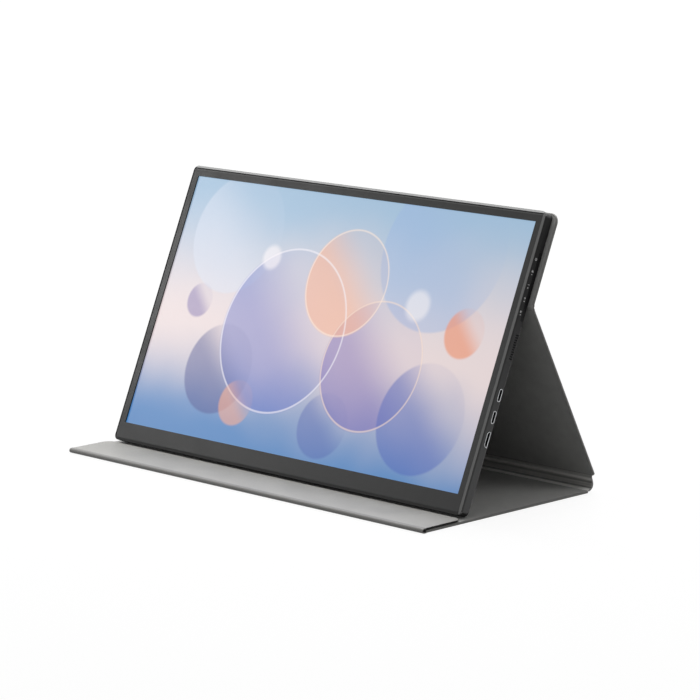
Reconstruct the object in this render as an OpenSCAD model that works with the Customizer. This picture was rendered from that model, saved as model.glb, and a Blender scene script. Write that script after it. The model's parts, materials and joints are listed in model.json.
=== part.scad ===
// Portable monitor standing in its folded folio cover.
// Millimetres, +Z up, -Y towards the viewer, +X to the viewer's right.
// The origin is the middle of the footprint, on the table.

/* [Picture] */
// Width of the lit picture
picture_w = 344.2; // [300:0.1:400]
// Height of the lit picture
picture_h = 193.6; // [170:0.1:230]
// Depth of the glass behind the front of the bezel
picture_recess = 1.05; // [0.6:0.05:1.4]

/* [Monitor shell] */
// Bezel at the left and right of the picture
side_border = 7.1; // [6.6:0.1:14]
// Bezel above the picture
top_border = 7.8; // [7.4:0.1:14]
// Bezel under the picture
chin = 14; // [13:0.1:24]
// Thickness of the monitor
mon_t = 8.5; // [8.4:0.1:11]
// Corner radius of the monitor, seen from the front
mon_corner_r = 4; // [2.6:0.1:5]
// Rounding of the rear edges
rear_edge_r = 1; // [0.5:0.1:1.4]
// Width of the sloped rim round the bezel
rim_w = 2.1; // [1:0.1:3]
// Drop of the sloped rim at the outer edge
rim_drop = 0.5; // [0.2:0.05:0.9]
// Depth of the seam between bezel and housing
seam_d = 2; // [1.7:0.1:2.6]
// Side wall of the housing
wall_t = 1.2; // [1:0.05:1.5]
// Back wall of the housing
floor_t = 0.7; // [0.6:0.05:0.9]

/* [Stand] */
// Lean of the monitor back from upright, in degrees
tilt = 23.5; // [16:0.5:30]
// Gap between the monitor's lower rear edge and the base
seat_gap = 0.3; // [0.1:0.05:0.6]
// Gap between the flap's free edge and the monitor's lower front edge
lip_gap = 1.2; // [0.6:0.1:3]

/* [Cover] */
// How far the cover stands out past the monitor at each side
cover_margin = 3.8; // [1:0.1:8]
// How far the upper panel stands out above the monitor
top_overhang = 1.2; // [0:0.1:4]
// Thickness of the cover's panels
cover_t = 1.9; // [1.6:0.05:2.6]
// Thickness of the leather and of the lining
skin_t = 0.5; // [0.3:0.05:0.6]
// Width of the turned edge round a panel
turn_w = 0.8; // [0.6:0.1:2]
// Radius of the cover's four outer corners
cover_corner_r = 7; // [3:0.5:12]
// Radius of the panel corners at the heel
fold_corner_r = 1.2; // [1:0.1:4]
// Radius of the panel corners at the crease and the front fold
crease_corner_r = 0.4; // [0.3:0.1:1]
// Length of the flap from the front fold to its free edge
flap_len = 39; // [32:0.5:50]
// Thickness of the flap
flap_t = 1.1; // [1:0.05:1.6]
// Thickness of the flap's leather and lining
flap_skin_t = 0.35; // [0.25:0.05:0.4]
// Gap between the folded flap and the base
flap_gap = 0.5; // [0.1:0.05:0.8]
// Length of the upper back panel, from the crease to its top edge
upper_len = 67; // [50:0.5:90]
// Lean of the lower back panel forward from upright, in degrees
leg_lean = 26.7; // [22:0.1:32]
// Gap between the upper back panel and the monitor
cover_gap = 0.1; // [0.05:0.05:0.3]

/* [Folds] */
// Distance between the spine's two folds, in a straight line
spine_chord = 11.2; // [9:0.1:16]
// Lean of that line back from upright, in degrees
spine_lean = 28; // [10:0.1:35]
// How far the spine bulges out
spine_bulge = 3.4; // [1.5:0.1:4]
// Thickness of the spine strip
spine_t = 1; // [0.7:0.05:1.2]
// How far the heel's soft strip stops short at each side
fold_notch = 2.5; // [0.5:0.1:4]
// Distance from a fold's axis to the panel's edge
fold_gap = 1.2; // [1.1:0.05:2]
// Radius of the thin bead along a fold
bead_r = 0.6; // [0.4:0.05:0.65]
// Radius of the bead along the crease
crease_bead_r = 0.75; // [0.5:0.05:0.78]
// Clearance between a bead and what turns round it
fold_clear = 0.3; // [0.2:0.05:0.4]

/* [Sockets] */
// Distance from the middle of the speaker slots down to the upper USB-C socket
usb_drop = 34.2; // [31:0.1:40]
// Distance from the upper to the lower USB-C socket
usb_pitch = 15.5; // [13:0.1:20]
// Distance from the lower USB-C socket down to the HDMI socket
hdmi_drop = 15.7; // [13:0.1:20]
// Width, height and length of a USB-C shell
usb_w = 8.94; // [8:0.01:10]
usb_h = 3.16; // [2.8:0.01:3.3]
usb_len = 7.35; // [6:0.05:9]
// Width, height and length of the HDMI shell
hdmi_w = 11.2; // [10:0.1:12]
hdmi_shell_h = 3.2; // [2.8:0.05:3.3]
hdmi_len = 7.6; // [6:0.1:9]
// Wall of a socket's metal shell
shell_t = 0.3; // [0.2:0.05:0.4]
// Gap round a socket in its hole
socket_clear = 0.15; // [0.1:0.05:0.3]
// How far a socket's mouth lies behind the side wall
mouth_set = 0.1; // [0.05:0.05:0.3]

/* [Keys] */
// Height of the power button above the monitor's lower edge
power_h = 182; // [172:0.5:190]
// Distance from one key to the next
key_pitch = 9.55; // [9.2:0.05:10]
// Length and width of a key
key_len = 6.6; // [5:0.1:7]
key_w = 1.8; // [1.4:0.1:2.2]
// Travel of a key
key_travel = 0.4; // [0.2:0.05:0.45]
// Depth of the keys' middle behind the bezel's front
key_d = 6.1; // [5.9:0.05:6.3]
// Width and thickness of the black strip round the keys
trim_w = 3; // [2.6:0.1:3.2]
trim_t = 0.4; // [0.3:0.05:0.5]

/* [Speakers] */
// Distance from the lowest key down to the middle of the speaker slots
speaker_drop = 23.6; // [22:0.1:28]
// Number of slots
slot_count = 11; // [5:1:13]
// Distance from one slot to the next
slot_pitch = 1.68; // [1.5:0.02:1.9]
// Width and length of a slot
slot_w = 0.8; // [0.5:0.05:1.1]
slot_len = 3; // [2:0.1:3.2]
// Width, length and depth of a speaker box
speaker_w = 12; // [8:0.5:16]
speaker_len = 28; // [22:0.5:28]
speaker_t = 3.8; // [3:0.1:4]

/* [Display stack] */
// Glass with its polarisers
glass_t = 0.9; // [0.6:0.05:1]
// Diffuser films
films_t = 0.3; // [0.2:0.05:0.35]
// Light guide
guide_t = 0.55; // [0.4:0.05:0.6]
// Reflector sheet
reflector_t = 0.1; // [0.05:0.01:0.15]
// Steel of the back light's tray
tray_t = 0.3; // [0.2:0.05:0.35]
// Glass beyond the picture at the sides and the top
glass_margin = 1.7; // [1:0.1:2]
// Glass beyond the picture at the bottom, where the drivers are bonded
glass_ledge = 4.4; // [3.6:0.1:5]
// Gap between the stack and the tray's walls
stack_clear = 0.2; // [0.1:0.05:0.3]

/* [Boards and screws] */
// Thickness of a circuit board
board_t = 0.6; // [0.5:0.05:0.7]
// Length of the main board from the side wall
main_board_len = 60; // [50:1:80]
// Gap between the tray and the main board, for the screw heads
board_gap = 0.5; // [0.45:0.05:0.55]
// Diameters of a housing screw's head and shank
screw_head_d = 3.2; // [2.8:0.1:3.4]
screw_d = 1.5; // [1.2:0.1:1.6]
// Thickness of a housing screw's head
screw_head_t = 0.7; // [0.5:0.05:0.8]
// Diameter of a screw boss
boss_d = 3.6; // [3.2:0.1:3.7]
// Diameters of a board screw's head and shank
board_screw_head_d = 2.8; // [2.4:0.1:3]
board_screw_d = 1.3; // [1:0.1:1.4]

/* [Magnets] */
// Length and width of a magnet in the upper back panel
magnet_len = 36; // [20:1:40]
magnet_w = 10; // [6:0.5:14]
// Number of magnets across the upper back panel
magnet_count = 6; // [2:1:8]
// Length and width of a magnet in the flap
flap_magnet_len = 20; // [10:1:30]
flap_magnet_w = 6; // [4:0.5:10]
// Thickness of the steel sheet that the magnets hold
plate_t = 0.4; // [0.3:0.05:0.5]

/* [Hidden] */
$fn = 48;
cut = 1; // how far a cutting shape runs past the face that it opens

// Colours
leather = [0.36, 0.36, 0.355];
lining = [0.24, 0.24, 0.24];
board_grey = [0.55, 0.52, 0.47];
shell_grey = [0.27, 0.27, 0.275];
black = [0.06, 0.06, 0.065];
steel = [0.72, 0.73, 0.74];
circuit = [0.07, 0.24, 0.16];

// Monitor sizes
mon_w = picture_w + 2 * side_border;
mon_h = chin + picture_h + top_border;
cover_w = mon_w + 2 * cover_margin;
hinge_w = cover_w - 2 * fold_notch;

// Places of the monitor's lower front edge, behind the front fold and above the table
foot_y = flap_len + lip_gap - rim_drop * cos(tilt);
foot_z = cover_t + seat_gap + rear_edge_r + (mon_t - rear_edge_r) * sin(tilt) - rear_edge_r * cos(tilt);

// Fold axes as [y, z], behind the front fold and above the table
crease_h = mon_h + top_overhang - upper_len;
crease_d = mon_t + cover_gap + cover_t / 2;
crease = [foot_y + crease_h * sin(tilt) + crease_d * cos(tilt),
          foot_z + crease_h * cos(tilt) - crease_d * sin(tilt)];
spine_rise = spine_chord * cos(spine_lean);
lower_len = (crease[1] - cover_t / 2 - spine_rise) / cos(leg_lean);
spine_top = [crease[0] + lower_len * sin(leg_lean), cover_t / 2 + spine_rise];
spine_foot = [spine_top[0] - spine_chord * sin(spine_lean), cover_t / 2];

// Arc of the bulged spine
spine_r = (pow(spine_chord / 2, 2) + pow(spine_bulge, 2)) / (2 * spine_bulge);
spine_half_angle = asin(spine_chord / 2 / spine_r);
spine_centre = (spine_top + spine_foot) / 2
             - (spine_r - spine_bulge) * [cos(spine_lean), -sin(spine_lean)];
spine_rear = spine_centre[0] + spine_r + spine_t / 2;
leg_rear = spine_top[0] - fold_gap * sin(leg_lean) + cover_t / 2 * cos(leg_lean);
overall_d = max(spine_rear, leg_rear);

// Base and flap
fold_r = (cover_t + flap_gap + flap_t) / 2;
base_end = spine_foot[0] - fold_gap;
base_start = 2 * fold_r + fold_clear;
flap_z = cover_t + flap_gap;
flap_start = fold_r + sqrt(pow(fold_r + fold_clear, 2) - pow(flap_z - fold_r, 2));
panel_board_t = cover_t - 2 * skin_t;
flap_board_t = flap_t - 2 * flap_skin_t;
turn_clear = 0.1;

// Display stack, as depths behind the bezel's front
glass_back = picture_recess + glass_t;
films_back = glass_back + films_t;
guide_back = films_back + guide_t;
reflector_back = guide_back + reflector_t;
tray_back = reflector_back + tray_t;
glass_low = chin - glass_ledge;
glass_high = chin + picture_h + glass_margin;
glass_w = picture_w + 2 * glass_margin;
tray_edge = stack_clear + tray_t;
film_inset = 0.5;
led_h = 1.8;

key_count = 5;

// Heights of the speaker slots and sockets above the monitor's lower edge, from the lowest key down
speaker_h = power_h - (key_count - 1) * key_pitch - speaker_drop;
usb_upper_h = speaker_h - usb_drop;
usb_lower_h = usb_upper_h - usb_pitch;
hdmi_h = usb_lower_h - hdmi_drop;

// Boards, as depths
floor_d = mon_t - floor_t;
board_front = tray_back + board_gap;
board_back = board_front + board_t;
usb_d = board_back + usb_h / 2;
hdmi_d = board_back + hdmi_shell_h / 2;
wall_x = mon_w / 2 - wall_t;
board_low = hdmi_h - hdmi_w / 2 - 3;
board_high = usb_upper_h + usb_w / 2 + 7.5;
board_h = board_high - board_low;
board_edge = wall_x - 0.4;
board_screw_inset = 4;
board_screw_x = [board_edge - main_board_len + board_screw_inset, board_edge - 13.6];
board_screw_h = [board_low + board_screw_inset, board_high - board_screw_inset];

// Housing screws, at [x, height]
screw_low_h = (wall_t + glass_low - tray_edge) / 2;
screw_high_h = (mon_h - wall_t + glass_high + tray_edge) / 2;
screw_x = [-0.46 * mon_w, -0.17 * mon_w, 0.17 * mon_w, 0.46 * mon_w];
screw_places = [for (x = screw_x, h = [screw_low_h, screw_high_h]) [x, h]];
pad_d = 4.2;
pad_t = 0.8;
head_sink = 0.1;

// Keys
key_heights = [for (i = [0:key_count - 1]) power_h - i * key_pitch];
key_clear = 0.1;
trim_len = (key_count - 1) * key_pitch + key_len + 4.4;
trim_mid = power_h - (key_count - 1) / 2 * key_pitch;
trim_sink = 0.1;
key_flange_t = 0.6;
key_face_x = mon_w / 2 - 0.05;
key_board_t = 0.8;
switch_t = 0.7;
plunger_t = 0.15;
key_back_x = wall_x - key_clear - key_flange_t;
switch_face_x = key_back_x - key_travel - 0.05;
key_board_x = switch_face_x - plunger_t - switch_t - key_board_t;
key_board_len = (key_count - 1) * key_pitch + 12;
rib_w = 2.4;
rib_hold = 1.2;
button_cable_w = 0.08 * main_board_len;
cable_overlap = 4;

// ---------- helpers ----------

// Rounded rectangle, centred on x, from y = 0 up
module round_rect(w, h, r) {
  translate([-w / 2 + r, 0]) square([w - 2 * r, h]);
  translate([-w / 2, r]) square([w, h - 2 * r]);
  for (x = [-1, 1], y = [r, h - r]) translate([x * (w / 2 - r), y]) circle(r);
}

// Rectangle with one radius at y = 0 and another at y = h
module two_radius_rect(w, h, r0, r1) {
  translate([-w / 2, r0]) square([w, h - r0 - r1]);
  translate([-w / 2 + r0, 0]) square([w - 2 * r0, r0 + 0.01]);
  translate([-w / 2 + r1, h - r1 - 0.01]) square([w - 2 * r1, r1 + 0.01]);
  for (x = [-1, 1]) {
    translate([x * (w / 2 - r0), r0]) circle(r0);
    translate([x * (w / 2 - r1), h - r1]) circle(r1);
  }
}

// Long hole, centred, with its length along x
module stadium(len, w) {
  square([len - w, w], center = true);
  for (x = [-1, 1]) translate([x * (len - w) / 2, 0]) circle(w / 2);
}

// Puts a flat shape of x and height between two depths behind the bezel's front
module slab(d0, d1) {
  translate([0, d1, 0]) rotate([90, 0, 0]) linear_extrude(d1 - d0) children();
}

// Runs a flat shape of height and depth along x, at one height and depth
module along_x(x0, x1, h, d) {
  translate([x0, d, h]) rotate([0, 90, 0]) linear_extrude(x1 - x0) children();
}

// Runs a flat shape of y and z across the width, centred on x
module across(w) {
  rotate([90, 0, 90]) translate([0, 0, -w / 2]) linear_extrude(w) children();
}

// Moves what is drawn from the front fold to the part's frame
module from_fold() {
  translate([0, -overall_d / 2, 0]) children();
}

// The monitor's frame: x, depth behind the bezel's front, height above its lower edge
module in_monitor() {
  from_fold() translate([0, foot_y, foot_z]) rotate([-tilt, 0, 0]) children();
}

// The lower back panel's frame: x, outwards, height above the spine's upper fold
module in_lower_back() {
  from_fold() translate([0, spine_top[0], spine_top[1]]) rotate([leg_lean, 0, 0]) children();
}

// The upper back panel's frame: x, outwards from its middle, height above its lower edge
module in_upper_back() {
  in_monitor() translate([0, crease_d, crease_h + fold_gap]) children();
}

// The base panel's frame, with its outer side down
module in_base() {
  from_fold() translate([0, base_start, cover_t / 2]) rotate([-90, 0, 0]) children();
}

// The flap's frame, folded back, with its outer side up
module in_flap() {
  from_fold() translate([0, flap_start, flap_z + flap_t / 2]) rotate([-90, 0, 0]) mirror([0, 1, 0]) children();
}

// Outer leather of a panel, with the turned edge that goes round its board
module panel_skin(w, len, t, skin, r0, r1) {
  slab(t / 2 - skin, t / 2) two_radius_rect(w, len, r0, r1);
  slab(-t / 2, t / 2) difference() {
    two_radius_rect(w, len, r0, r1);
    translate([0, turn_w])
      two_radius_rect(w - 2 * turn_w, len - 2 * turn_w, max(r0 - turn_w, 0.2), max(r1 - turn_w, 0.2));
  }
}

// Flat filling of a panel between two depths, inside the turned edge
module panel_filling(w, len, d0, d1, r0, r1) {
  inset = turn_w + turn_clear;
  slab(d0, d1) translate([0, inset])
    two_radius_rect(w - 2 * inset, len - 2 * inset, max(r0 - inset, 0.2), max(r1 - inset, 0.2));
}

// Thin web from a panel's edge to the bead along its fold; the fold's axis is at height h
module fold_bead(h, edge, r, w) {
  translate([-w / 2, 0, h]) rotate([0, 90, 0]) cylinder(r = r, h = w);
  low = min(h, edge);
  translate([-w / 2, -bead_r / 2, low]) cube([w, bead_r, abs(h - edge) + 0.05]);
}

// ---------- cover: base ----------

base_len = base_end - base_start;

module base_skin() {
  color(leather) {
    in_base() {
      panel_skin(cover_w, base_len, cover_t, skin_t, crease_corner_r, fold_corner_r);
      fold_bead(base_len + fold_gap, base_len - 0.05, bead_r, hinge_w);
    }
    // the leather rolls round the front and joins the panel
    from_fold() {
      translate([-cover_w / 2, fold_r, fold_r]) rotate([0, 90, 0]) cylinder(r = fold_r, h = cover_w);
      translate([-cover_w / 2, fold_r, 0]) cube([cover_w, base_start + skin_t - fold_r, skin_t]);
    }
  }
}

module base_board() {
  color(board_grey) in_base()
    panel_filling(cover_w, base_len, cover_t / 2 - skin_t - panel_board_t, cover_t / 2 - skin_t,
                  crease_corner_r, fold_corner_r);
}

module base_lining() {
  color(lining) in_base()
    panel_filling(cover_w, base_len, -cover_t / 2, -cover_t / 2 + skin_t, crease_corner_r, fold_corner_r);
}

// ---------- cover: flap ----------

flap_panel_len = flap_len - flap_start;
flap_magnet_x = [-0.36 * cover_w, -0.12 * cover_w, 0.12 * cover_w, 0.36 * cover_w];

module flap_magnet_row(grow) {
  for (x = flap_magnet_x)
    translate([x, flap_panel_len - cover_corner_r - flap_magnet_w / 2])
      square([flap_magnet_len + 2 * grow, flap_magnet_w + 2 * grow], center = true);
}

module flap_skin() {
  color(leather) in_flap() panel_skin(cover_w, flap_panel_len, flap_t, flap_skin_t, crease_corner_r, cover_corner_r);
}

module flap_board() {
  color(board_grey) in_flap() difference() {
    panel_filling(cover_w, flap_panel_len, -flap_board_t / 2, flap_board_t / 2, crease_corner_r, cover_corner_r);
    slab(-flap_board_t / 2 - cut, flap_board_t / 2 + cut) flap_magnet_row(turn_clear);
  }
}

module flap_lining() {
  color(lining) in_flap()
    panel_filling(cover_w, flap_panel_len, -flap_t / 2, -flap_board_t / 2, crease_corner_r, cover_corner_r);
}

module flap_magnets() {
  color(steel) in_flap() slab(-flap_board_t / 2, flap_board_t / 2) flap_magnet_row(0);
}

// ---------- cover: spine ----------

// Part of the spine's arc between two angles, seen from the side
module spine_arc(a0, a1) {
  reach = 2 * spine_r;
  translate(spine_centre) intersection() {
    difference() {
      circle(spine_r + spine_t / 2);
      circle(spine_r - spine_t / 2);
    }
    polygon([[0, 0], reach * [cos(a0), sin(a0)], reach * [cos(a1), sin(a1)]]);
  }
}

// Angle on the arc that takes up a length along it
function arc_angle(len) = len / spine_r * 180 / PI;
fold_stop = arc_angle(bead_r + fold_clear);

module spine_strip() {
  color(leather) from_fold() across(hinge_w)
    spine_arc(-spine_lean - spine_half_angle + fold_stop, -spine_lean + spine_half_angle - fold_stop);
}

// ---------- cover: lower back panel ----------

lower_panel_len = lower_len - 2 * fold_gap;

module lower_back_skin() {
  color(leather) in_lower_back() {
    translate([0, 0, fold_gap])
      panel_skin(cover_w, lower_panel_len, cover_t, skin_t, fold_corner_r, crease_corner_r);
    fold_bead(0, fold_gap, bead_r, hinge_w);
    fold_bead(lower_len, lower_len - fold_gap - 0.05, crease_bead_r, cover_w);
  }
}

module lower_back_board() {
  color(board_grey) in_lower_back() translate([0, 0, fold_gap])
    panel_filling(cover_w, lower_panel_len, cover_t / 2 - skin_t - panel_board_t, cover_t / 2 - skin_t,
                  fold_corner_r, crease_corner_r);
}

module lower_back_lining() {
  color(lining) in_lower_back() translate([0, 0, fold_gap])
    panel_filling(cover_w, lower_panel_len, -cover_t / 2, -cover_t / 2 + skin_t, fold_corner_r, crease_corner_r);
}

// ---------- cover: upper back panel ----------

upper_panel_len = upper_len - fold_gap;
magnet_step = (cover_w - 2 * cover_corner_r) / magnet_count;

module magnet_row(grow) {
  for (i = [0:magnet_count - 1])
    translate([(i - (magnet_count - 1) / 2) * magnet_step, upper_panel_len / 2])
      square([magnet_len + 2 * grow, magnet_w + 2 * grow], center = true);
}

module upper_back_skin() {
  color(leather) in_upper_back()
    panel_skin(cover_w, upper_panel_len, cover_t, skin_t, crease_corner_r, cover_corner_r);
}

module upper_back_board() {
  color(board_grey) in_upper_back() difference() {
    panel_filling(cover_w, upper_panel_len, cover_t / 2 - skin_t - panel_board_t, cover_t / 2 - skin_t,
                  crease_corner_r, cover_corner_r);
    slab(-cover_t, cover_t) magnet_row(turn_clear);
  }
}

module upper_back_lining() {
  color(lining) in_upper_back()
    panel_filling(cover_w, upper_panel_len, -cover_t / 2, -cover_t / 2 + skin_t, crease_corner_r, cover_corner_r);
}

module cover_magnets() {
  color(steel) in_upper_back()
    slab(cover_t / 2 - skin_t - panel_board_t, cover_t / 2 - skin_t) magnet_row(0);
}

// ---------- monitor: shell ----------

// Outline of the monitor from the front, drawn in by an inset
module mon_outline(inset) {
  translate([0, inset]) round_rect(mon_w - 2 * inset, mon_h - 2 * inset, max(mon_corner_r - inset, 0.4));
}

// Hole of a socket or key through the side wall
module wall_hole(h, d) {
  along_x(wall_x - cut, mon_w / 2 + cut, h, d) children();
}

module hdmi_outline(w, h) {
  step = h / 2;
  polygon([[-w / 2, step], [w / 2, step], [w / 2, 0], [w / 2 - step, -step], [-w / 2 + step, -step], [-w / 2, 0]]);
}

module front_bezel() {
  color(shell_grey) in_monitor() {
    difference() {
      hull() {
        slab(0, 0.01) mon_outline(rim_w);
        slab(rim_drop, seam_d) mon_outline(0);
      }
      slab(picture_recess, seam_d + cut) mon_outline(wall_t);
      slab(-cut, picture_recess + cut) translate([-picture_w / 2, chin]) square([picture_w, picture_h]);
    }
    // screw bosses behind the border
    for (p = screw_places) slab(picture_recess, floor_d - pad_t) translate(p) difference() {
      circle(d = boss_d);
      circle(d = screw_d + 0.1);
    }
  }
}

module speaker_slots(side) {
  for (i = [0:slot_count - 1])
    translate([side * mon_w / 2, key_d, speaker_h + (i - (slot_count - 1) / 2) * slot_pitch])
      rotate([0, 90, 0]) rotate([0, 0, 90]) linear_extrude(4 * wall_t, center = true) stadium(slot_len, slot_w);
}

module rear_housing() {
  color(shell_grey) in_monitor() {
    difference() {
      union() {
        difference() {
          hull() {
            slab(seam_d, mon_t - rear_edge_r) mon_outline(0, $fn = 32);
            for (a = [30:30:90])
              slab(mon_t - rear_edge_r, mon_t - rear_edge_r * (1 - sin(a)))
                mon_outline(rear_edge_r * (1 - cos(a)), $fn = 32);
          }
          slab(seam_d - cut, floor_d) mon_outline(wall_t);
        }
        // pads under the housing screws and pillars under the main board
        for (p = screw_places) slab(floor_d - pad_t, floor_d + 0.1) translate(p) circle(d = pad_d);
        for (x = board_screw_x, h = board_screw_h)
          slab(board_back, floor_d + 0.1) translate([x, h]) circle(d = boss_d);
        // slotted ribs that hold the ends of the button board
        for (s = [-1, 1])
          translate([key_board_x - 0.6, board_back, trim_mid + s * (key_board_len / 2 - rib_hold + rib_w / 2) - rib_w / 2])
            cube([key_board_t + 1, floor_d - board_back + 0.1, rib_w]);
      }
      for (p = screw_places) {
        slab(floor_d - pad_t - cut, mon_t + cut) translate(p) circle(d = screw_d + 0.3);
        slab(mon_t - screw_head_t - head_sink, mon_t + cut) translate(p) circle(d = screw_head_d + 0.2);
      }
      for (x = board_screw_x, h = board_screw_h)
        slab(board_back - cut, floor_d - 0.3) translate([x, h]) circle(d = board_screw_d + 0.1);
      translate([key_board_x - 0.05, board_front, trim_mid - key_board_len / 2 - 0.1])
        cube([key_board_t + 0.1, floor_d - board_front, key_board_len + 0.2]);
      // sockets, keys and speaker slots
      for (h = [usb_upper_h, usb_lower_h])
        wall_hole(h, usb_d) stadium(usb_w + 2 * socket_clear, usb_h + 2 * socket_clear);
      wall_hole(hdmi_h, hdmi_d) offset(delta = socket_clear) hdmi_outline(hdmi_w, hdmi_shell_h);
      for (h = key_heights) wall_hole(h, key_d) stadium(key_len + 2 * key_clear, key_w + 2 * key_clear);
      along_x(mon_w / 2 - trim_t - trim_sink, mon_w / 2 + cut, trim_mid, key_d) stadium(trim_len, trim_w);
      speaker_slots(1);
      speaker_slots(-1);
    }
  }
}

module button_trim() {
  color(black) in_monitor() difference() {
    along_x(mon_w / 2 - trim_t - trim_sink, mon_w / 2 - trim_sink, trim_mid, key_d)
      stadium(trim_len - 0.1, trim_w - 0.1);
    for (h = key_heights) wall_hole(h, key_d) stadium(key_len + 2 * key_clear, key_w + 2 * key_clear);
  }
}

module housing_screws() {
  color(steel) in_monitor() for (p = screw_places) {
    difference() {
      slab(mon_t - head_sink - screw_head_t, mon_t - head_sink) translate(p) circle(d = screw_head_d);
      // cross recess
      slab(mon_t - head_sink - screw_head_t / 2, mon_t) translate(p) {
        square([1.6, 0.4], center = true);
        square([0.4, 1.6], center = true);
      }
    }
    slab(seam_d + 1.6, mon_t - head_sink - screw_head_t + 0.05) translate(p) circle(d = screw_d);
  }
}

// ---------- monitor: display stack ----------

// Outline of a sheet of the stack, drawn in at the sides and top, with its own lower edge
module stack_outline(inset, low) {
  translate([-glass_w / 2 + inset, low]) square([glass_w - 2 * inset, glass_high - inset - low]);
}

module lcd_panel() {
  color([0.55, 0.7, 0.88]) in_monitor() slab(picture_recess, glass_back) stack_outline(0, glass_low);
}

module diffuser_films() {
  color([0.92, 0.92, 0.9]) in_monitor() slab(glass_back, films_back) stack_outline(film_inset, glass_low + led_h + 1);
}

module light_guide() {
  color([0.85, 0.92, 0.9]) in_monitor() slab(films_back, guide_back) stack_outline(film_inset, glass_low + led_h + 1);
}

module reflector_sheet() {
  color([0.95, 0.95, 0.95]) in_monitor() slab(guide_back, reflector_back) stack_outline(film_inset, glass_low + 0.3);
}

module led_strip() {
  color([0.95, 0.9, 0.6]) in_monitor() {
    slab(guide_back - 0.15, guide_back) translate([-glass_w / 2 + 2, glass_low + 0.5]) square([glass_w - 4, led_h]);
    // the diodes, side by side under the light guide's edge
    for (i = [0:23]) slab(films_back, guide_back - 0.1)
      translate([(i - 11.5) * (glass_w - 14) / 23 - 2, glass_low + 1.3]) square([4, led_h - 0.9]);
  }
}

module backlight_tray() {
  color(steel) in_monitor() {
    slab(reflector_back, tray_back) stack_outline(-tray_edge, glass_low - tray_edge);
    slab(picture_recess + 0.2, reflector_back + 0.01) difference() {
      stack_outline(-tray_edge, glass_low - tray_edge);
      stack_outline(-stack_clear, glass_low - stack_clear);
    }
  }
}

// ---------- monitor: electronics ----------

panel_board_w = 0.7 * picture_w;
panel_board_h = 1.35 * glass_ledge;
panel_board_low = glass_low + stack_clear;
driver_count = 5;
driver_step = panel_board_w / (driver_count + 2);
cable_t = 0.2;
cable_w = 1.3 * usb_pitch;
cable_gap = 0.1 * main_board_len;
cable_x = board_edge - main_board_len - cable_gap - cable_w;
cable_d = tray_back + board_t;
cable_end = board_back + 2 * cable_t;
cable_mid = (usb_lower_h + usb_upper_h) / 2;
plug_w = 0.07 * main_board_len;
plug_inset = 1;
chip_t = 1.2;
can_len = 0.48 * main_board_len;
can_w = 0.42 * board_h;
can_x = board_edge - 0.77 * main_board_len;
can_low = board_low + 0.25 * board_h;
can_t = 0.2;
coil = 0.08 * main_board_len;

module panel_board() {
  color(circuit) in_monitor() {
    slab(tray_back, tray_back + board_t) translate([-panel_board_w / 2, panel_board_low])
      square([panel_board_w, panel_board_h]);
    // driver chips
    for (i = [0:driver_count - 1]) slab(tray_back + board_t - 0.01, tray_back + board_t + chip_t)
      translate([(i - (driver_count - 1) / 2) * driver_step, panel_board_low + panel_board_h / 2])
        square([driver_step / 3, panel_board_h / 2], center = true);
  }
}

module panel_cable() {
  color([0.8, 0.75, 0.6]) in_monitor() {
    low = panel_board_low + 0.7 * panel_board_h;
    edge = cable_x + cable_w;
    slab(cable_d, cable_d + cable_t) translate([cable_x, low])
      square([cable_w, cable_mid + cable_w / 2 - low]);
    // turns, and rises to the plug on the main board
    translate([0, 0, cable_mid - cable_w / 2]) linear_extrude(cable_w) polygon([
      [edge - 0.1, cable_d], [edge + 0.35 * cable_gap, cable_d], [edge + 0.75 * cable_gap, cable_end],
      [edge + cable_gap + plug_inset - 0.2, cable_end], [edge + cable_gap + plug_inset - 0.2, cable_end + cable_t],
      [edge + 0.73 * cable_gap, cable_end + cable_t], [edge + 0.33 * cable_gap, cable_d + cable_t],
      [edge - 0.1, cable_d + cable_t]]);
  }
}

module main_board() {
  color(circuit) in_monitor() {
    difference() {
      slab(board_front, board_back) translate([board_edge - main_board_len, board_low])
        square([main_board_len, board_h]);
      for (x = board_screw_x, h = board_screw_h)
        slab(board_front - cut, board_back + cut) translate([x, h]) circle(d = board_screw_d + 0.3);
    }
    // plug for the flat cable, controller chip and memory under the can, and coils
    slab(board_back - 0.01, board_back + chip_t) {
      translate([board_edge - main_board_len + plug_inset, cable_mid - 0.55 * cable_w]) square([plug_w, 1.1 * cable_w]);
      translate([can_x + 0.07 * can_len, can_low + 0.1 * can_w]) square(0.48 * can_len);
      translate([can_x + 0.65 * can_len, can_low + 0.2 * can_w]) square(0.28 * can_len);
      for (i = [0:2]) translate([can_x - 1.2 * coil + i * 1.45 * coil, board_low + board_screw_inset]) square(coil);
    }
  }
}

module shield_can() {
  can_h = 2;
  color(steel) in_monitor() translate([can_x, 0, can_low]) difference() {
    translate([0, board_back, 0]) cube([can_len, can_h, can_w]);
    translate([can_t, board_back - cut, can_t]) cube([can_len - 2 * can_t, can_h + cut - can_t, can_w - 2 * can_t]);
  }
}

module board_screws() {
  color(steel) in_monitor() for (x = board_screw_x, h = board_screw_h) {
    slab(board_front - 0.4, board_front) translate([x, h]) circle(d = board_screw_head_d);
    slab(board_front - 0.05, floor_d - 0.6) translate([x, h]) circle(d = board_screw_d);
  }
}

// Metal shell with its tongue, mouth at the side wall
module usb_c_socket(h) {
  mouth = mon_w / 2 - mouth_set;
  color(steel) in_monitor() {
    difference() {
      along_x(mouth - usb_len, mouth, h, usb_d) stadium(usb_w, usb_h);
      along_x(mouth - usb_len + 0.7, mouth + cut, h, usb_d) stadium(usb_w - 2 * shell_t, usb_h - 2 * shell_t);
    }
    along_x(mouth - usb_len + 0.6, mouth - 0.9, h, usb_d) square([0.75 * usb_w, 0.7], center = true);
  }
}

module usb_c_socket_upper() { usb_c_socket(usb_upper_h); }

module usb_c_socket_lower() { usb_c_socket(usb_lower_h); }

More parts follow.
